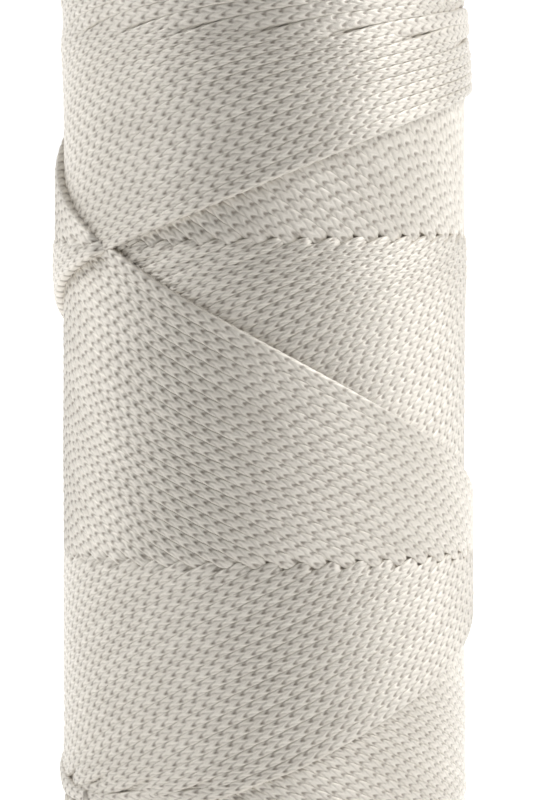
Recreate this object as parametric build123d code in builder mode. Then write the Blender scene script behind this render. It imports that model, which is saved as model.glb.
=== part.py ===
from build123d import *
import math
import os

# A flangeless thread spool: one braided thread wound crosswise on a paperboard tube.
# Millimetres, +Z along the tube, origin at the centre of the lower rim.

# Thread
thread_diameter = 1.2
thread_nesting = 0.67       # radial build of one pass of thread, as a share of its diameter
passes_per_layer = 2        # a full layer has one pass winding up and one winding down

# Core tube
bore_diameter = 16.0
core_wall = 1.6
rim_height = 3.0            # bare tube showing past each end of the winding
rim_chamfer = 0.3

# Winding
winding_length = 74.0
layer_count = 5
shoulder_radius = 1.2       # rounded edge where the outer layer turns back

# Thread catches: a slit in each rim that grips one end of the thread
slit_clearance = 0.05
tail_end_setback = 0.1      # the trimmed thread end stops short of the bore
start_tail_drop = 0.4       # straight run below the winding before the thread turns inwards

# Sizes that follow
bore_radius = bore_diameter / 2
core_radius = bore_radius + core_wall
core_length = winding_length + 2 * rim_height
winding_bottom = rim_height
winding_top = rim_height + winding_length
layer_thickness = passes_per_layer * thread_diameter * thread_nesting
package_radius = core_radius + layer_count * layer_thickness
thread_radius = thread_diameter / 2
tail_bend_radius = thread_diameter
slit_half_width = thread_radius + slit_clearance
start_tail_height = winding_bottom - start_tail_drop - tail_bend_radius
finish_tail_height = winding_top + thread_radius
finish_tail_reach = package_radius - shoulder_radius
tail_inner_end = bore_radius + tail_end_setback

os.makedirs("parts", exist_ok=True)


def save(piece, name):
    """Label a finished piece and write it to its own file."""
    piece.label = name
    export_step(piece, f"parts/{name}.step")


# Core tube: plain tube with chamfered rims and a thread slit cut in each rim at the +X side
with BuildPart() as core_tube:
    with BuildSketch(Plane.XY):
        Circle(core_radius)
        Circle(bore_radius, mode=Mode.SUBTRACT)
    extrude(amount=core_length)
    chamfer(core_tube.edges().filter_by(GeomType.CIRCLE), length=rim_chamfer)

    # lower slit, open at the lower rim, with a round end around the starting tail
    with BuildSketch(Plane.YZ):
        with Locations((0, start_tail_height)):
            Circle(slit_half_width)
        with Locations((0, start_tail_height / 2)):
            Rectangle(2 * slit_half_width, start_tail_height)
    extrude(amount=package_radius, mode=Mode.SUBTRACT)

    # upper slit, open at the upper rim, with a round end around the finishing tail
    upper_slit_height = core_length - finish_tail_height
    with BuildSketch(Plane.YZ):
        with Locations((0, finish_tail_height)):
            Circle(slit_half_width)
        with Locations((0, finish_tail_height + upper_slit_height / 2)):
            Rectangle(2 * slit_half_width, upper_slit_height)
    extrude(amount=package_radius, mode=Mode.SUBTRACT)
save(core_tube.part, "core_tube")

# Thread layers: each is a sleeve as thick as one pass up and one pass down
for layer in range(1, layer_count + 1):
    inner_radius = core_radius + (layer - 1) * layer_thickness
    with BuildPart() as thread_layer:
        with BuildSketch(Plane.XY.offset(winding_bottom)):
            Circle(inner_radius + layer_thickness)
            Circle(inner_radius, mode=Mode.SUBTRACT)
        extrude(amount=winding_length)
        if layer == layer_count:
            rims = thread_layer.edges().filter_by(GeomType.CIRCLE)
            outer_rims = rims.group_by(SortBy.RADIUS)[-1]
            fillet(outer_rims, radius=shoulder_radius)
    save(thread_layer.part, f"thread_layer_{layer}")

# Starting tail: leaves the first layer at its lower end and turns inwards through the lower slit
with BuildPart() as start_tail:
    with BuildLine(Plane.XZ) as start_path:
        FilletPolyline(
            (core_radius + thread_radius, winding_bottom),
            (core_radius + thread_radius, start_tail_height),
            (tail_inner_end, start_tail_height),
            radius=tail_bend_radius,
        )
    with BuildSketch(Plane(origin=start_path.line @ 0, z_dir=start_path.line % 0)):
        Circle(thread_radius)
    sweep()
save(start_tail.part, "start_tail")

# Finishing tail: crosses the upper end of the winding and is pinched in the upper slit
with BuildPart() as finish_tail:
    with BuildSketch(Plane.YZ.offset(tail_inner_end)):
        with Locations((0, finish_tail_height)):
            Circle(thread_radius)
    extrude(amount=finish_tail_reach - tail_inner_end)
save(finish_tail.part, "finish_tail")

# One layer's thread covers the cylinder once going up and once coming down
thread_length = 0.0
for layer in range(1, layer_count + 1):
    middle_radius = core_radius + (layer - 0.5) * layer_thickness
    thread_length += passes_per_layer * 2 * math.pi * middle_radius * winding_length / thread_diameter

print(f"package diameter {2 * package_radius:.2f}, core length {core_length:.2f}")
print(f"thread wound on, about {thread_length / 1000:.1f} m")
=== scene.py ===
import math

import bpy
import numpy as np
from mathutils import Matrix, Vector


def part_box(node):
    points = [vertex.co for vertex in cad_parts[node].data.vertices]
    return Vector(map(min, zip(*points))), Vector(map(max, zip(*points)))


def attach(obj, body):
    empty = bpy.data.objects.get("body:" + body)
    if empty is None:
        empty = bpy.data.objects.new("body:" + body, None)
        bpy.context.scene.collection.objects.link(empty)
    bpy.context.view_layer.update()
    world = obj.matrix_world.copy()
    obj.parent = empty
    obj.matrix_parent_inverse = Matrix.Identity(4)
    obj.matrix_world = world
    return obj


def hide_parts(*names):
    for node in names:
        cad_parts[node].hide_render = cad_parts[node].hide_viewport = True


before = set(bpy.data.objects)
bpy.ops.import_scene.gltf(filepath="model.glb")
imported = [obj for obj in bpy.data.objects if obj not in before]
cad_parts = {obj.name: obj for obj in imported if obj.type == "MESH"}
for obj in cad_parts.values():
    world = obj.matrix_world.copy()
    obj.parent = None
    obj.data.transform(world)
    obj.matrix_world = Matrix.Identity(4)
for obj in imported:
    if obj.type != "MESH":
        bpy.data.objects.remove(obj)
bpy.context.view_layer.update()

random = np.random.default_rng(7)

# ---------------------------------------------------------------- sizes, in millimetres and degrees
MM = 0.001
THREAD = 1.2                     # thread diameter
STITCH = 1.38                    # length of one braid stitch along the thread
BODY = "root"

winding_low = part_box("thread_layer_5")[0][2] / MM
winding_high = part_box("thread_layer_5")[1][2] / MM
package_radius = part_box("thread_layer_5")[1][0] / MM
core_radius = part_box("core_tube")[1][0] / MM
winding_height = winding_high - winding_low

# One lay of thread across the package, down and up again, takes almost three turns, so each lay lands
# one thread's width beside the last. A full layer is LAYS lays.
LAYS = 42.6
FULL_TURN = 360.0
LAY_STEP = FULL_TURN / LAYS
CYCLE = 3 * FULL_TURN - LAY_STEP
STEP_HEIGHT = 0.65 * THREAD      # how much one pass of thread builds the package up

# Height of the newest lay above the winding's foot, against the angle round the package in turns
LAY_PATH = [
    (-0.150, 3.85), (-0.092, 4.30), (-0.046, 5.00), (0.012, 7.17), (0.067, 10.07), (0.150, 14.50),
    (0.214, 17.75), (0.354, 24.93), (0.758, 46.93), (0.854, 50.58), (0.931, 53.60), (1.032, 58.17),
    (1.091, 60.70), (1.150, 62.60), (1.204, 63.80), (1.306, 65.30), (1.403, 66.30), (1.500, 66.80),
    (1.569, 66.35), (1.639, 64.20), (1.761, 56.40), (1.854, 50.58), (1.961, 44.27), (2.099, 36.24),
    (2.212, 30.43), (2.354, 22.90), (2.556, 12.30), (2.667, 8.00), (2.761, 5.00),
    (-0.150 + CYCLE / FULL_TURN, 3.85),
]
START = LAY_PATH[0][0] * FULL_TURN
TOP_TURN = 1.5 * FULL_TURN
END = START + CYCLE

# Older lays reach closer to the two ends than the newest
TOP_REACH, TOP_REACH_AT, TOP_REACH_WIDTH = 6.9, 505.0, 180.0
TOP_REACH_LAYS = 9.5             # most of that within the first few lays
FOOT_REACH, FOOT_REACH_WIDTH = 3.2, 80.0

# The rising passes are spread a little wider than an even step, most half-way through the layer
SPREAD = 8.0
SPREAD_FROM, SPREAD_IN, SPREAD_OUT = 125.0, 295.0, 430.0


def smoothstep(x, low, high):
    t = np.clip((x - low) / (high - low), 0.0, 1.0)
    return t * t * (3 - 2 * t)


def hump(x, centre, half_width):
    t = np.clip(np.abs(x - centre) / half_width, 0.0, 1.0)
    return np.cos(0.5 * np.pi * t) ** 2


class Curve:
    """A monotone cubic through a few points, which doesn't overshoot between them."""

    def __init__(self, points):
        self.x = np.array([p[0] for p in points], float)
        self.y = np.array([p[1] for p in points], float)
        d = np.diff(self.y) / np.diff(self.x)
        m = np.zeros_like(self.y)
        same = d[:-1] * d[1:] > 0
        m[1:-1][same] = 2 * d[:-1][same] * d[1:][same] / (d[:-1][same] + d[1:][same])
        self.m = m

    def __call__(self, x):
        i = np.clip(np.searchsorted(self.x, x) - 1, 0, len(self.x) - 2)
        h = self.x[i + 1] - self.x[i]
        t = (x - self.x[i]) / h
        a = (1 + 2 * t) * (1 - t) ** 2 * self.y[i] + t * (1 - t) ** 2 * h * self.m[i]
        b = t * t * (3 - 2 * t) * self.y[i + 1] + t * t * (t - 1) * h * self.m[i + 1]
        return a + b


base_height = Curve([(turn * FULL_TURN, height) for turn, height in LAY_PATH])


def lay_height(age, q):
    """Height above the winding's foot of the lay that is age lays old, at path angle q."""
    share = np.clip(age / LAYS, 0.0, 1.0)
    climbed = (1 - np.exp(-age / TOP_REACH_LAYS)) / (1 - math.exp(-LAYS / TOP_REACH_LAYS))
    top = TOP_REACH * np.minimum(climbed, 1.0) * hump(q, TOP_REACH_AT, TOP_REACH_WIDTH)
    foot = FOOT_REACH * share * (hump(q, START, FOOT_REACH_WIDTH) + hump(q, END, FOOT_REACH_WIDTH))
    return base_height(q) + top - foot


def lay_shift(age, q):
    """How far behind the newest lay, in degrees, the lay that is age lays old runs."""
    weight = smoothstep(q, SPREAD_FROM, SPREAD_IN) * (1 - smoothstep(q, SPREAD_OUT, TOP_TURN))
    return LAY_STEP * age + SPREAD * np.sin(np.pi * np.clip(age / LAYS, 0.0, 1.0)) * weight


# ---------------------------------------------------------------- which lay passes where
AGES = np.arange(0, 70)
HEIGHT_STEP = 0.05
HEIGHTS = np.arange(0.0, winding_height + HEIGHT_STEP, HEIGHT_STEP)
TABLE_STEP = 0.5                 # degrees between the samples of a pass
REACH_SLACK = 0.4                # a pass still counts this far past its highest and lowest points


def age_table(low, high, rising):
    """For every age, where its pass crosses each height, and the newest age that gets there."""
    q = np.arange(low, high, TABLE_STEP)
    rows, reached = [], []
    for age in AGES:
        z = lay_height(age, q)
        peak = int(np.argmax(z))
        if rising:
            qq = q[: peak + 1]
            zz = np.maximum.accumulate(z[: peak + 1])
        else:
            qq = q[peak:][::-1]
            zz = np.maximum.accumulate(z[peak:][::-1])
        at = np.interp(HEIGHTS, zz, qq)
        rows.append(at - lay_shift(age, at))
        reached.append((HEIGHTS < zz[-1] + REACH_SLACK) & (HEIGHTS > zz[0] - REACH_SLACK))
    rows = np.array(rows)
    reached = np.array(reached)
    newest = np.where(reached.any(axis=0), reached.argmax(axis=0), int(LAYS))
    behind = rows[0] - rows
    return rows[0], np.maximum.accumulate(behind, axis=0), newest


rises = age_table(START, TOP_TURN + 60, True)
falls = age_table(TOP_REACH_AT - 60, END, False)


def age_at(angle, height, passes):
    """The age of the pass over a point, the gap to the next one in degrees, and the newest age there."""
    lead_row, behind, newest = passes
    x = np.clip(height / HEIGHT_STEP, 0, len(HEIGHTS) - 1.001)
    i = x.astype(int)
    t = x - i
    lead = lead_row[i] * (1 - t) + lead_row[i + 1] * t
    rows = behind[:, i] * (1 - t) + behind[:, i + 1] * t
    cols = np.arange(len(angle))
    first = newest[i]
    s = np.mod(lead - angle, FULL_TURN)
    s = np.where(s < rows[first, cols] - 0.5 * LAY_STEP, s + FULL_TURN, s)
    k = np.clip((rows < s).sum(axis=0) - 1, 0, len(AGES) - 2)
    a, b = rows[k, cols], rows[k + 1, cols]
    gap = np.maximum(b - a, 0.2)
    return k + (s - a) / gap, gap, first


# ---------------------------------------------------------------- braid surface
STRAND_BULGE = 0.085             # each plait strand stands this much proud at its middle
WEAVE = 0.045                    # and this much more where it passes over the others
SCALE = 0.10                     # each stitch swells by this much before it dives under the next
COLUMN = 0.29                    # one row of stitch legs is this wide, and four show on top of the thread
STRANDS = 6                      # plait strands running each way round the thread
STEPS = 4 * STRANDS              # corners in each ring of the thread's mesh
RING_STEP = STITCH / 8
AROUND = 8 * COLUMN              # the plait's width once round the thread
SWELL_PEAK = 0.8                 # each stitch is highest this far along it
SWELL_MEAN = 0.7
# the colour is darkened in this hollow as painted shade
PIT_AT, PIT_HALF = 0.52, 0.16    # where the small hollow past each stitch is, and its half-length
TOP_SHARE = 0.75                 # the part of the plait's width that shows on top, to either side
TOP_CORNER, TOP_FLATNESS = 0.61, 8
SQUARENESS = 3.6                 # 2 would be a round thread; pressed threads are squarer


def braid(s, u):
    """The plait's surface at s along and u round the thread: its height, its top strand's lean, and a pit
    mask where the colour gets painted shade.
    """
    across = u * STRANDS / AROUND
    a = s / STITCH - across
    b = s / STITCH + across
    xa = np.abs(a - np.round(a)) * 2
    xb = np.abs(b - np.round(b)) * 2
    turn = 0.5 * np.pi * u / COLUMN
    over = -np.sin(2 * turn)
    round_a = np.sqrt(np.clip(1 - xa ** 2, 0, 1))
    round_b = np.sqrt(np.clip(1 - xb ** 2, 0, 1))
    ha = STRAND_BULGE * round_a + WEAVE * over
    hb = STRAND_BULGE * round_b - WEAVE * over
    row = np.floor(u / (2 * COLUMN))
    off = np.abs(u - (row + 0.5) * 2 * COLUMN) / COLUMN
    ahead = np.mod(s / STITCH + 0.5 * np.mod(row, 2) - 0.25 * off, 1)
    swell = np.where(ahead < SWELL_PEAK, ahead / SWELL_PEAK, (1 - ahead) / (1 - SWELL_PEAK))
    middle = np.sin(turn) ** 2
    height = np.maximum(ha, hb) + SCALE * (swell - SWELL_MEAN) * middle - STRAND_BULGE
    pit = middle * np.clip(1 - np.abs(np.mod(ahead + 0.5, 1) - PIT_AT) / PIT_HALF, 0, 1)
    return height, (ha > hb).astype(float), pit


def section(u):
    """The pressed thread's outline: how far across and how far out it is at u, for a half-width of one."""
    t = u / TOP_CORNER
    top = t / (1 + np.abs(t) ** TOP_FLATNESS) ** (1 / TOP_FLATNESS)
    edge = TOP_SHARE / TOP_CORNER
    start = np.arcsin(edge / (1 + edge ** TOP_FLATNESS) ** (1 / TOP_FLATNESS))
    below = (np.abs(u) - TOP_SHARE) / (0.5 * AROUND - TOP_SHARE)
    under = np.sign(u) * (start + below * (np.pi - start))
    turn = np.where(np.abs(u) <= TOP_SHARE, np.arcsin(np.clip(top, -1, 1)), under)
    c, d = np.cos(turn), np.sin(turn)
    r = (np.abs(c) ** SQUARENESS + np.abs(d) ** SQUARENESS) ** (-1 / SQUARENESS)
    across = np.where(np.abs(u) <= TOP_SHARE, d, r * d)
    rise = np.where(np.abs(u) <= TOP_SHARE, (1 - np.abs(d) ** SQUARENESS) ** (1 / SQUARENESS), r * c)
    return across, rise, c, d


class Threads:
    """Gathers lengths of thread into pieces, starting a new piece once one passes LIMIT faces.
    Gathers lengths of thread into pieces small enough to write out whole.
    """

    LIMIT = 180000

    def __init__(self, name):
        self.name = name
        self.parts = []
        self.faces = 0
        self.pieces = []

    def add(self, points, outward, width, height, rings, tone):
        """One length of thread: centre points, outward directions, widths, heights, ring numbers, tone."""
        n = len(points)
        tangent = np.gradient(points, axis=0)
        tangent /= np.linalg.norm(tangent, axis=1)[:, None]
        normal = outward - (outward * tangent).sum(axis=1)[:, None] * tangent
        normal /= np.linalg.norm(normal, axis=1)[:, None]
        side = np.cross(tangent, normal)
        j = np.arange(STEPS)[None, :] + 0.5 * (rings[:, None] % 2)
        u = j * AROUND / STEPS - 0.5 * AROUND
        s = rings[:, None] * RING_STEP + 0 * u
        lift, lean, pit = braid(s, u)
        across, rise, up, out = section(u)
        v = (points[:, None, :]
             + (0.5 * height[:, None] * rise + lift * up)[..., None] * normal[:, None, :]
             + (0.5 * width[:, None] * across + 0.5 * lift * out)[..., None] * side[:, None, :])
        self.parts.append(dict(v=v.reshape(-1, 3), rings=rings, s=s.reshape(-1), u=u.reshape(-1),
                               lift=lift.reshape(-1), lean=lean.reshape(-1), pit=pit.reshape(-1),
                               tone=np.full(u.size, tone)))
        self.faces += 2 * (n - 1) * STEPS
        if self.faces > self.LIMIT:
            self.close()

    def close(self):
        if not self.parts:
            return
        self.pieces.append(thread_mesh(f"{self.name}_{len(self.pieces) + 1:02d}", self.parts))
        self.parts = []
        self.faces = 0


def thread_mesh(name, parts):
    """One mesh object from several closed thread lengths, whose rings are turned by half a step in turn."""
    tris, ends = [], []
    offset = 0
    j = np.arange(STEPS)
    k = (j + 1) % STEPS
    for part in parts:
        rings = part["rings"]
        n = len(rings)
        base = offset + np.arange(n - 1)[:, None] * STEPS
        low_j, low_k = base + j, base + k
        high_j, high_k = low_j + STEPS, low_k + STEPS
        even = (rings[:-1, None] % 2 == 0)
        tris.append(np.stack([low_j, low_k, np.where(even, high_j, high_k)], axis=-1).reshape(-1, 3))
        tris.append(np.stack([np.where(even, low_k, low_j), high_k, high_j], axis=-1).reshape(-1, 3))
        ends.append(offset + j[::-1])
        ends.append(offset + (n - 1) * STEPS + j)
        offset += n * STEPS
    tris = np.concatenate(tris)
    ends = np.array(ends)
    verts = np.concatenate([part["v"] for part in parts]) * MM
    loops = np.concatenate([tris.reshape(-1), ends.reshape(-1)])
    starts = np.concatenate([np.arange(len(tris)) * 3, len(tris) * 3 + np.arange(len(ends)) * STEPS])
    mesh = bpy.data.meshes.new(name)
    mesh.vertices.add(len(verts))
    mesh.vertices.foreach_set("co", verts.astype(np.float32).reshape(-1))
    mesh.loops.add(len(loops))
    mesh.loops.foreach_set("vertex_index", loops.astype(np.int32))
    mesh.polygons.add(len(starts))
    mesh.polygons.foreach_set("loop_start", starts.astype(np.int32))
    mesh.update(calc_edges=True)
    mesh.polygons.foreach_set("use_smooth", np.ones(len(starts), bool))
    s = np.concatenate([part["s"] for part in parts])
    u = np.concatenate([part["u"] for part in parts])
    uv = mesh.uv_layers.new(name="along_thread")
    uv.data.foreach_set("uv", np.stack([s, u], axis=-1)[loops].astype(np.float32).reshape(-1))
    for key in ("lift", "lean", "pit", "tone"):
        values = np.concatenate([part[key] for part in parts])
        mesh.attributes.new(key, "FLOAT", "POINT").data.foreach_set("value", values.astype(np.float32))
    mesh.validate()
    obj = bpy.data.objects.new(name, mesh)
    bpy.context.scene.collection.objects.link(obj)
    return obj


# ---------------------------------------------------------------- the outer layer, lay by lay
OVERLAP = 2.8                    # a thread goes on this far under the ones that cover it
CROSSING = 0.38                  # half the length of a crossing, in thread spacings
SHOULDER = 1.7                   # the winding's ends are rounded by this radius
PHASE_STEP = 0.485               # how far the stitches of one lay are ahead of the next
PATH_STEP, RUN_ON = 0.25, 4.0    # degrees between a lay's samples, and past its two ends
EVEN_TOP, EVEN_FOOT = 16, 14     # older and newer lays level out within this height of each end
EVEN_LEAST = 0.2
EASE, ROUNDING = 61, 13          # samples over which a width, and a change of radius, is spread
SHORTEST, FEWEST_RINGS = 1.5, 6  # anything shorter isn't worth laying

# Where threads are crowded, every second one drops out, then every second one of the rest, and so on:
# one in how many, which of them, and the spacings, in threads, where it starts and ends dropping
DROPPED = ((2, 1, 0.66, 0.56), (4, 2, 0.36, 0.28), (8, 4, 0.19, 0.14))
DOUBLED = (0.61, 0.32, 0.165)    # the spacings at which the remaining threads double theirs
NARROWEST, WIDEST = 0.7 * THREAD, 1.35 * THREAD
PRESSED = 1.19                   # threads spread this much wider than their spacing
FULLNESS = 0.95                  # and are this much lower for it
LOWEST, HIGHEST = 0.80 * THREAD, 1.1 * THREAD
OLDEST = 64
SINK_DEPTH = 0.48 * THREAD        # a thread squeezed out between crowded neighbours drops this far


def evenness(height):
    """How much of the step between new and old lays shows: less towards the ends, where lays bed in."""
    from_top = smoothstep(winding_height - height, 0, EVEN_TOP)
    from_foot = smoothstep(height, 0, EVEN_FOOT)
    return EVEN_LEAST + (1 - EVEN_LEAST) * from_top * from_foot


def moving_mean(x, count):
    kernel = np.ones(count) / count
    padded = np.concatenate([np.full(count, x[0]), x, np.full(count, x[-1])])
    return np.convolve(padded, kernel, mode="same")[count:-count]


def lay_threads(threads, age):
    """One lay of the outer layer: up, over the top, down, wherever it isn't hidden by newer lays."""
    q = np.arange(START - RUN_ON, END + RUN_ON, PATH_STEP)
    q_in = np.clip(q, START, END)
    height = lay_height(age, q_in)
    angle = q - lay_shift(age, q_in)
    peak = q[np.argmax(height)]
    rising = q < peak
    other_rise, gap_rise, first_rise = age_at(angle, height, rises)
    other_fall, gap_fall, first_fall = age_at(angle, height, falls)
    other = np.where(rising, other_fall, other_rise)
    first = np.where(rising, first_rise, first_fall)
    gap_rise = age_at(angle - 0.4 * LAY_STEP, height, rises)[1]
    gap_fall = age_at(angle - 0.4 * LAY_STEP, height, falls)[1]
    gap = np.where(rising, gap_rise, gap_fall)
    lead = np.where(rising, other - age + 0.5, other - age - 0.5)
    on_top = smoothstep(lead, -CROSSING, CROSSING)
    build = STEP_HEIGHT * (on_top - 1 + (1 - (age + other) / LAYS) * evenness(height))

    # spacing to the neighbouring threads, measured across the thread
    per_degree = math.radians(1) * (package_radius - 0.5 * THREAD)
    climb = np.abs(np.gradient(height, q)) / np.maximum(np.gradient(angle, q), 0.2) / per_degree
    slope = np.arctan(climb)
    spacing = gap * per_degree * np.sin(slope)
    crowd = spacing / THREAD
    sink = np.zeros_like(q)
    for every, which, begins, ends in DROPPED:
        if age % every == which:
            sink = smoothstep(-crowd, -begins, -ends)
    sink = moving_mean(sink, EASE)
    for level in DOUBLED:
        spacing = np.where(crowd < level, spacing * 2, spacing)
    spacing = moving_mean(np.clip(spacing, NARROWEST, WIDEST), EASE)

    radius = package_radius - 0.5 * THREAD + build - SINK_DEPTH * sink
    edge = np.minimum(height, winding_height - height) - 0.5 * THREAD
    inset = np.clip(SHOULDER - edge, 0, SHOULDER)
    radius -= SHOULDER - np.sqrt(np.maximum(SHOULDER ** 2 - inset ** 2, 0))
    radius = moving_mean(radius, ROUNDING)

    turn = np.radians(angle)
    points = np.stack([radius * np.sin(turn), -radius * np.cos(turn), winding_low + height], axis=-1)
    outward = np.stack([np.sin(turn), -np.cos(turn), 0 * turn], axis=-1)
    length = np.concatenate([[0], np.cumsum(np.linalg.norm(np.diff(points, axis=0), axis=1))])
    seen = (on_top > 0.02) & (sink < 0.95) & (age < first + LAYS)
    reach = np.interp(length + OVERLAP, length, np.arange(len(q))).astype(int)
    back = np.interp(length - OVERLAP, length, np.arange(len(q))).astype(int)
    marks = np.concatenate([[0], np.cumsum(seen)])
    shown = marks[np.minimum(reach + 1, len(q))] - marks[back] > 0
    edges = np.flatnonzero(np.diff(np.concatenate([[0], shown.astype(int), [0]])))
    nominal = length + PHASE_STEP * age
    for begin, last in zip(edges[::2], edges[1::2] - 1):
        if length[last] - length[begin] < SHORTEST:
            continue
        first_ring = math.ceil(nominal[begin] / RING_STEP)
        rings = np.arange(first_ring, math.floor(nominal[last] / RING_STEP))
        if len(rings) < FEWEST_RINGS:
            continue
        s = rings * RING_STEP
        p = np.stack([np.interp(s, nominal, points[:, k]) for k in range(3)], axis=-1)
        o = np.stack([np.interp(s, nominal, outward[:, k]) for k in range(3)], axis=-1)
        w = np.interp(s, nominal, spacing) * PRESSED
        h = np.clip(FULLNESS * THREAD ** 2 / w, LOWEST, HIGHEST)
        threads.add(p, o, w, h, rings, random.uniform(0, 1))


def wind_outer_layer():
    threads = Threads("thread_winding")
    for age in range(OLDEST):
        lay_threads(threads, age)
    threads.close()
    return threads.pieces


# ---------------------------------------------------------------- the inner winding below it
INNER_AROUND, INNER_ROWS = 300, 150
INNER_INSET = 0.9                # it stops this far short of the winding's two ends
INNER_DEPTH = 1.14 * THREAD      # and lies this far below the outer layer's surface
RIDGE, RIDGE_CLIMB = 0.1, 8.3    # height of its thread ridges, and their climb per radian


def inner_winding():
    """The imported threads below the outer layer, as one closed sleeve with thread ridges on its outside."""
    around, rows = INNER_AROUND, INNER_ROWS
    angle = np.linspace(0, 2 * np.pi, around, endpoint=False)
    z = np.linspace(winding_low + INNER_INSET, winding_high - INNER_INSET, rows)
    A, Z = np.meshgrid(angle, z)
    ridge = RIDGE * np.cos(LAYS * (A - (Z - winding_low) / RIDGE_CLIMB))
    flat_angle, flat_height = np.degrees(A).reshape(-1), (Z - winding_low).reshape(-1)
    rise_age = age_at(flat_angle, flat_height, rises)[0]
    fall_age = age_at(flat_angle, flat_height, falls)[0]
    build = STEP_HEIGHT * ((1 - (rise_age + fall_age) / LAYS) * evenness(flat_height)).reshape(A.shape)
    outer = package_radius - INNER_DEPTH + build + ridge
    inner = np.full_like(outer, core_radius)

    def wall(radius):
        return np.stack([radius * np.sin(A), -radius * np.cos(A), Z], axis=-1).reshape(-1, 3)

    verts = np.concatenate([wall(outer), wall(inner)]) * MM
    faces = []
    count = around * rows
    for side, base in ((0, 0), (1, count)):
        i = np.arange(rows - 1)[:, None] * around
        j = np.arange(around)[None, :]
        k = (j + 1) % around
        q = np.stack([i + j, i + k, i + around + k, i + around + j], axis=-1).reshape(-1, 4) + base
        faces.append(q if side == 0 else q[:, ::-1])
    j = np.arange(around)
    k = (j + 1) % around
    low = np.stack([j, count + j, count + k, k], axis=-1)
    last = (rows - 1) * around
    high = np.stack([last + j, last + k, count + last + k, count + last + j], axis=-1)
    faces = np.concatenate(faces + [low, high])
    mesh = bpy.data.meshes.new("inner_winding")
    mesh.from_pydata(verts.tolist(), [], faces.tolist())
    mesh.polygons.foreach_set("use_smooth", np.ones(len(mesh.polygons), bool))
    obj = bpy.data.objects.new("inner_winding", mesh)
    bpy.context.scene.collection.objects.link(obj)
    return obj


# ---------------------------------------------------------------- ends of the winding
END_RINGS = 7
ARCS_PER_RING = 5
ARC_HALF = (50, 62)              # half of an arc, in degrees: the arcs overlap a little
ARC_JITTER = 6
ARC_DRIFT = (0.15, 0.5)          # how far an arc wanders from its ring
ARC_DIVE = 1.5                   # its ends dive this far into the winding
ARC_SAMPLES = 400


def end_arcs(name, face_z, direction):
    """Threads turning back at one end of the winding: rings of arcs that rise, run round and dive again."""
    threads = Threads(name)
    inner = core_radius + 0.5 * THREAD
    outer = package_radius - 1.1 * THREAD
    for ring in range(END_RINGS):
        ring_radius = inner + (outer - inner) * ring / (END_RINGS - 1)
        start = random.uniform(0, FULL_TURN)
        for arc in range(ARCS_PER_RING):
            half = random.uniform(*ARC_HALF)
            middle = start + arc * FULL_TURN / ARCS_PER_RING + random.uniform(-ARC_JITTER, ARC_JITTER)
            drift = random.uniform(*ARC_DRIFT) * (1 if (ring + arc) % 2 else -1)
            t = np.linspace(-1, 1, ARC_SAMPLES)
            radius = np.clip(ring_radius + drift * t, inner, outer + 0.3)
            depth = 0.5 * THREAD + 0.15 * random.uniform(0, 1) + ARC_DIVE * np.abs(t) ** 3
            turn = np.radians(middle + half * t)
            z = face_z - direction * depth
            points = np.stack([radius * np.sin(turn), -radius * np.cos(turn), z], axis=-1)
            outward = np.zeros_like(points)
            outward[:, 2] = direction
            length = np.concatenate([[0], np.cumsum(np.linalg.norm(np.diff(points, axis=0), axis=1))])
            rings = np.arange(int(length[-1] / RING_STEP))
            s = rings * RING_STEP
            p = np.stack([np.interp(s, length, points[:, k]) for k in range(3)], axis=-1)
            o = np.stack([np.interp(s, length, outward[:, k]) for k in range(3)], axis=-1)
            w = np.full(len(s), 1.04 * THREAD)
            threads.add(p, o, w, 0.95 * w, rings, random.uniform(0, 1))
    threads.close()
    return threads.pieces


# ---------------------------------------------------------------- the two ends of the thread
def tail(name, route, outward):
    """A braided thread end along a route of points, rounded by a spline."""
    curve = bpy.data.curves.new(name + "_route", "CURVE")
    curve.dimensions = "3D"
    spline = curve.splines.new("NURBS")
    spline.points.add(len(route) - 1)
    for point, at in zip(spline.points, route):
        point.co = (*at, 1.0)
    spline.order_u = 3
    spline.use_endpoint_u = True
    spline.resolution_u = 24
    holder = bpy.data.objects.new(name + "_route", curve)
    mesh = bpy.data.meshes.new_from_object(holder)
    points = np.array([v.co[:] for v in mesh.vertices])
    bpy.data.objects.remove(holder)
    bpy.data.curves.remove(curve)
    bpy.data.meshes.remove(mesh)
    length = np.concatenate([[0], np.cumsum(np.linalg.norm(np.diff(points, axis=0), axis=1))])
    rings = np.arange(int(length[-1] / RING_STEP))
    s = rings * RING_STEP
    p = np.stack([np.interp(s, length, points[:, k]) for k in range(3)], axis=-1)
    o = np.tile(np.array(outward, float), (len(s), 1))
    w = np.full(len(s), THREAD)
    threads = Threads(name)
    threads.add(p, o, w, w, rings, 0.5)
    threads.close()
    threads.pieces[0].name = name
    return threads.pieces[0]


# ---------------------------------------------------------------- materials
def node_material(name):
    material = bpy.data.materials.new(name)
    material.use_nodes = True
    tree = material.node_tree
    return material, tree, tree.nodes["Principled BSDF"]


FILAMENT_TILT = 0.62             # filaments lean with their strand, this far across per length along
FILAMENT_ALONG, FILAMENT_ACROSS = 1.6, 26.0
FILAMENT_SEED, BLOTCH_SEED = 40.0, 30.0
BLOTCH_ALONG, BLOTCH = 0.22, 0.12
HAIR_LEVEL, HAIR_CONTRAST = 0.62, 0.50
# how much shade is painted into the hollow past each stitch
PIT_SHADE = 0.95


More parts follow.
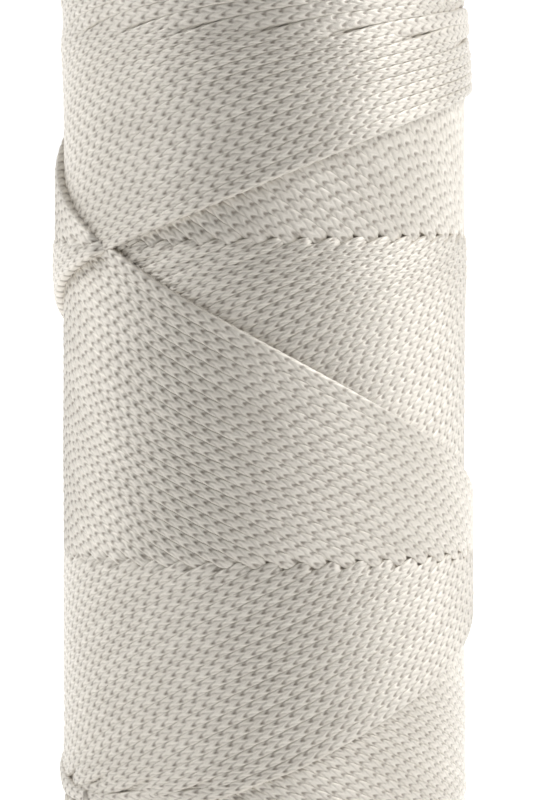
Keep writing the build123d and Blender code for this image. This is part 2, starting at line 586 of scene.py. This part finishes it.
def thread_material(name, light, dark):
    """Satin plaited fibre: fine filaments along each strand, with painted shade in the creases and pits
    between stitches.

    A share of metal and a gloss that runs across the fibres stand in for the fibres' own reflection.
    """
    material, tree, shader = node_material(name)
    new, link = tree.nodes.new, tree.links.new

    def math_node(kind, a, b=None):
        node = new("ShaderNodeMath")
        node.operation = kind
        for socket, value in zip(node.inputs, (a, b)):
            if value is None:
                continue
            if isinstance(value, (int, float)):
                socket.default_value = value
            else:
                link(value, socket)
        return node.outputs[0]

    def attribute(key):
        node = new("ShaderNodeAttribute")
        node.attribute_name = key
        return node.outputs["Fac"]

    uv = new("ShaderNodeUVMap")
    uv.uv_map = "along_thread"
    split = new("ShaderNodeSeparateXYZ")
    link(uv.outputs["UV"], split.inputs[0])
    along, across = split.outputs[0], split.outputs[1]
    lean_sign = math_node("MULTIPLY_ADD", attribute("lean"), 2.0)
    lean_sign.node.inputs[2].default_value = -1.0
    slide = math_node("MULTIPLY", math_node("MULTIPLY", along, FILAMENT_TILT), lean_sign)
    cross = math_node("SUBTRACT", across, slide)
    place = new("ShaderNodeCombineXYZ")
    link(math_node("MULTIPLY", along, FILAMENT_ALONG), place.inputs[0])
    link(math_node("MULTIPLY", cross, FILAMENT_ACROSS), place.inputs[1])
    link(math_node("MULTIPLY", attribute("tone"), FILAMENT_SEED), place.inputs[2])
    filaments = new("ShaderNodeTexNoise")
    filaments.inputs["Scale"].default_value = 1.0
    filaments.inputs["Detail"].default_value = 3.0
    filaments.inputs["Roughness"].default_value = 0.6
    link(place.outputs[0], filaments.inputs["Vector"])

    blotch_at = new("ShaderNodeCombineXYZ")
    link(math_node("MULTIPLY", along, BLOTCH_ALONG), blotch_at.inputs[0])
    link(math_node("MULTIPLY", attribute("tone"), BLOTCH_SEED), blotch_at.inputs[1])
    blotch = new("ShaderNodeTexNoise")
    blotch.inputs["Scale"].default_value = 1.0
    blotch.inputs["Detail"].default_value = 2.0
    link(blotch_at.outputs[0], blotch.inputs["Vector"])

    # painted shade: the colour darkens where the surface lies low, in the creases between strands and along
    # the thread's sides
    painted_crease_shade = new("ShaderNodeMapRange")
    painted_crease_shade.inputs["From Min"].default_value = -STRAND_BULGE - WEAVE
    painted_crease_shade.inputs["From Max"].default_value = 0.2 * WEAVE
    painted_crease_shade.inputs["To Min"].default_value = 0.35
    link(attribute("lift"), painted_crease_shade.inputs["Value"])
    # painted shade in the small hollow past each stitch
    painted_pit_shade = math_node("SUBTRACT", 1.0, math_node("MULTIPLY", attribute("pit"), PIT_SHADE))
    hair = math_node("MULTIPLY_ADD", filaments.outputs["Fac"], HAIR_CONTRAST)
    hair.node.inputs[2].default_value = HAIR_LEVEL
    patch = math_node("MULTIPLY_ADD", blotch.outputs["Fac"], 2 * BLOTCH)
    patch.node.inputs[2].default_value = -BLOTCH
    level = math_node("MULTIPLY", math_node("MULTIPLY", hair, painted_crease_shade.outputs[0]), painted_pit_shade)
    level = math_node("ADD", level, patch)
    ramp = new("ShaderNodeMix")
    ramp.data_type = "RGBA"
    ramp.inputs["A"].default_value = (*dark, 1)
    ramp.inputs["B"].default_value = (*light, 1)
    clamp = new("ShaderNodeClamp")
    link(level, clamp.inputs[0])
    link(clamp.outputs[0], ramp.inputs["Factor"])
    link(ramp.outputs["Result"], shader.inputs["Base Color"])

    rough = new("ShaderNodeMapRange")
    rough.inputs["To Min"].default_value = 0.34
    rough.inputs["To Max"].default_value = 0.56
    link(filaments.outputs["Fac"], rough.inputs["Value"])
    link(rough.outputs[0], shader.inputs["Roughness"])
    bump = new("ShaderNodeBump")
    bump.inputs["Strength"].default_value = 0.35
    bump.inputs["Distance"].default_value = 0.00005
    link(filaments.outputs["Fac"], bump.inputs["Height"])
    link(bump.outputs["Normal"], shader.inputs["Normal"])
    tangent = new("ShaderNodeTangent")
    tangent.direction_type = "UV_MAP"
    tangent.uv_map = "along_thread"
    link(tangent.outputs[0], shader.inputs["Tangent"])
    shader.inputs["Anisotropic"].default_value = 0.9
    shader.inputs["Metallic"].default_value = 0.3
    shader.inputs["Anisotropic Rotation"].default_value = 0.25
    shader.inputs["IOR"].default_value = 1.7
    shader.inputs["Specular IOR Level"].default_value = 1.0
    shader.inputs["Sheen Weight"].default_value = 0.15
    shader.inputs["Sheen Roughness"].default_value = 0.4
    return material


def simple_thread_material(name, light, dark):
    """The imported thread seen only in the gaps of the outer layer."""
    material, tree, shader = node_material(name)
    noise = tree.nodes.new("ShaderNodeTexNoise")
    noise.inputs["Scale"].default_value = 900.0
    ramp = tree.nodes.new("ShaderNodeMix")
    ramp.data_type = "RGBA"
    ramp.inputs["A"].default_value = (*dark, 1)
    ramp.inputs["B"].default_value = (*light, 1)
    tree.links.new(noise.outputs["Fac"], ramp.inputs["Factor"])
    tree.links.new(ramp.outputs["Result"], shader.inputs["Base Color"])
    shader.inputs["Roughness"].default_value = 0.7
    return material


def paperboard_material():
    """Spiral-wound paperboard: a helical ply seam, flecked fibres, slightly polished outside."""
    material, tree, shader = node_material("paperboard_tube")
    new, link = tree.nodes.new, tree.links.new
    coordinates = new("ShaderNodeTexCoord")
    fibres = new("ShaderNodeTexNoise")
    fibres.inputs["Scale"].default_value = 1400.0
    fibres.inputs["Detail"].default_value = 6.0
    link(coordinates.outputs["Object"], fibres.inputs["Vector"])
    mix = new("ShaderNodeMix")
    mix.data_type = "RGBA"
    mix.inputs["A"].default_value = (0.27, 0.19, 0.115, 1)
    mix.inputs["B"].default_value = (0.46, 0.35, 0.23, 1)
    link(fibres.outputs["Fac"], mix.inputs["Factor"])
    link(mix.outputs["Result"], shader.inputs["Base Color"])
    bump = new("ShaderNodeBump")
    bump.inputs["Strength"].default_value = 0.4
    bump.inputs["Distance"].default_value = 0.0001
    link(fibres.outputs["Fac"], bump.inputs["Height"])
    link(bump.outputs["Normal"], shader.inputs["Normal"])
    shader.inputs["Roughness"].default_value = 0.8
    return material


# ---------------------------------------------------------------- build
def place(piece, material, slot, *nodes):
    piece.data.materials.clear()
    piece.data.materials.append(material)
    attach(piece, BODY)
    if nodes:
        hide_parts(*nodes)


# the dark colour is both the fibres' own darker tone and the painted shade in creases and pits
braided = thread_material("waxed_braid", (0.80, 0.755, 0.675), (0.16, 0.12, 0.08))
packed = simple_thread_material("packed_thread", (0.62, 0.58, 0.50), (0.40, 0.36, 0.30))
board = paperboard_material()

for piece in wind_outer_layer():
    place(piece, braided, "thread", "thread_layer_5")
place(inner_winding(), packed, "thread",
      "thread_layer_1", "thread_layer_2", "thread_layer_3", "thread_layer_4")
ENDS = (("end_turns_top", winding_high, 1), ("end_turns_foot", winding_low, -1))
for end_name, face, direction in ENDS:
    for piece in end_arcs(end_name, face, direction):
        place(piece, braided, "thread")

tail_high = winding_high + 0.5 * THREAD
tail_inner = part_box("finish_tail")[0][0] / MM
finish = tail("finish_thread_end", [
    (package_radius - 1.0, 4.5, winding_high - 3.2), (package_radius - 1.2, 1.6, tail_high - 1.4),
    (package_radius - 3.0, 0.35, tail_high + 0.15), (package_radius - 5.0, 0.0, tail_high + 0.02),
    (core_radius, 0.0, tail_high), (tail_inner, 0.0, tail_high)], (0.2, 0, 1))
place(finish, braided, "thread", "finish_tail")
start_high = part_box("start_tail")[0][2] / MM + 0.5 * THREAD
start = tail("start_thread_end", [
    (core_radius + 0.5 * THREAD, 0.0, winding_low + 1.0),
    (core_radius + 0.5 * THREAD, 0.0, start_high + 0.7),
    (core_radius + 0.35 * THREAD, 0.0, start_high), (core_radius - 0.4 * THREAD, 0.0, start_high),
    (tail_inner, 0.0, start_high)], (0.7, 0, -0.7))
place(start, braided, "thread", "start_tail")

core = bpy.data.objects["core_tube"]
for material_slot in core.material_slots:
    material_slot.material = board


# ---------------------------------------------------------------- floor, light and camera
FLOOR_SIZE, FLOOR_BACK, FLOOR_RISE = 2.5, 1.4, 1.6
COVE, COVE_STEPS = 0.6, 12       # the floor curves up into the backdrop
GLOW_DISTANCE = (-0.06, 0.05)    # it glows from here on, so that it is white behind the spool
GLOW_STRENGTH = (0.12, 0.72)


def stage_floor():
    mesh = bpy.data.meshes.new("studio_floor")
    size, back, rise = FLOOR_SIZE, FLOOR_BACK, FLOOR_RISE
    profile = [(-size, 0.0), (back - COVE, 0.0)]
    for k in range(1, COVE_STEPS + 1):
        a = math.radians(90 / COVE_STEPS * k)
        profile.append((back - COVE + COVE * math.sin(a), COVE - COVE * math.cos(a)))
    profile.append((back, rise))
    verts, faces = [], []
    for y, z in profile:
        verts += [(-size, y, z), (size, y, z)]
    for i in range(len(profile) - 1):
        faces.append((2 * i, 2 * i + 1, 2 * i + 3, 2 * i + 2))
    mesh.from_pydata(verts, [], faces)
    for polygon in mesh.polygons:
        polygon.use_smooth = True
    obj = bpy.data.objects.new("studio_floor", mesh)
    bpy.context.scene.collection.objects.link(obj)
    material, tree, shader = node_material("studio_white")
    shader.inputs["Base Color"].default_value = (0.9, 0.9, 0.9, 1)
    shader.inputs["Roughness"].default_value = 0.9
    shader.inputs["Emission Color"].default_value = (1, 1, 1, 1)
    where = tree.nodes.new("ShaderNodeTexCoord")
    split = tree.nodes.new("ShaderNodeSeparateXYZ")
    glow = tree.nodes.new("ShaderNodeMapRange")
    sideways = tree.nodes.new("ShaderNodeMath")
    sideways.operation = "ABSOLUTE"
    from_front = tree.nodes.new("ShaderNodeMath")
    from_front.operation = "MULTIPLY_ADD"
    from_front.inputs[1].default_value = 0.7
    tree.links.new(where.outputs["Object"], split.inputs[0])
    tree.links.new(split.outputs["X"], sideways.inputs[0])
    tree.links.new(sideways.outputs[0], from_front.inputs[0])
    tree.links.new(split.outputs["Y"], from_front.inputs[2])
    tree.links.new(from_front.outputs[0], glow.inputs["Value"])
    glow.inputs["From Min"].default_value, glow.inputs["From Max"].default_value = GLOW_DISTANCE
    glow.inputs["To Min"].default_value, glow.inputs["To Max"].default_value = GLOW_STRENGTH
    tree.links.new(glow.outputs[0], shader.inputs["Emission Strength"])
    mesh.materials.append(material)


def soft_light(name, at, aim, size, power):
    light = bpy.data.lights.new(name, "AREA")
    light.shape = "RECTANGLE"
    light.size, light.size_y = size
    light.energy = power
    obj = bpy.data.objects.new(name, light)
    obj.location = at
    direction = np.array(aim) - np.array(at)
    yaw = math.atan2(direction[0], -direction[1])
    pitch = math.atan2(math.hypot(direction[0], direction[1]), -direction[2])
    obj.rotation_euler = (pitch, 0, yaw + math.pi)
    bpy.context.scene.collection.objects.link(obj)
    return obj


def set_camera():
    distance, eye, target = 0.391, 0.0564, 0.0403
    frame_height = 0.0695            # what the longer side of the picture spans at the spool's axis
    camera = bpy.data.cameras.new("camera")
    camera.lens = 36.0 * distance / frame_height
    camera.clip_start = 0.01
    obj = bpy.data.objects.new("camera", camera)
    obj.location = (0.0002, -distance, eye)
    obj.rotation_euler = (math.pi / 2 - math.atan2(eye - target, distance), 0, 0)
    bpy.context.scene.collection.objects.link(obj)
    bpy.context.scene.camera = obj


def set_world():
    world = bpy.data.worlds.new("studio")
    world.use_nodes = True
    world.node_tree.nodes["Background"].inputs["Color"].default_value = (1, 1, 1, 1)
    world.node_tree.nodes["Background"].inputs["Strength"].default_value = 0.10
    bpy.context.scene.world = world


stage_floor()
middle = (0, 0, 0.04)
soft_light("soft_left", (-0.44, 0.02, 0.46), middle, (0.34, 0.24), 2.0)
soft_light("soft_right", (0.42, -0.08, 0.50), middle, (0.56, 0.24), 3.9)
set_world()
set_camera()
bpy.context.scene.view_settings.view_transform = "Standard"
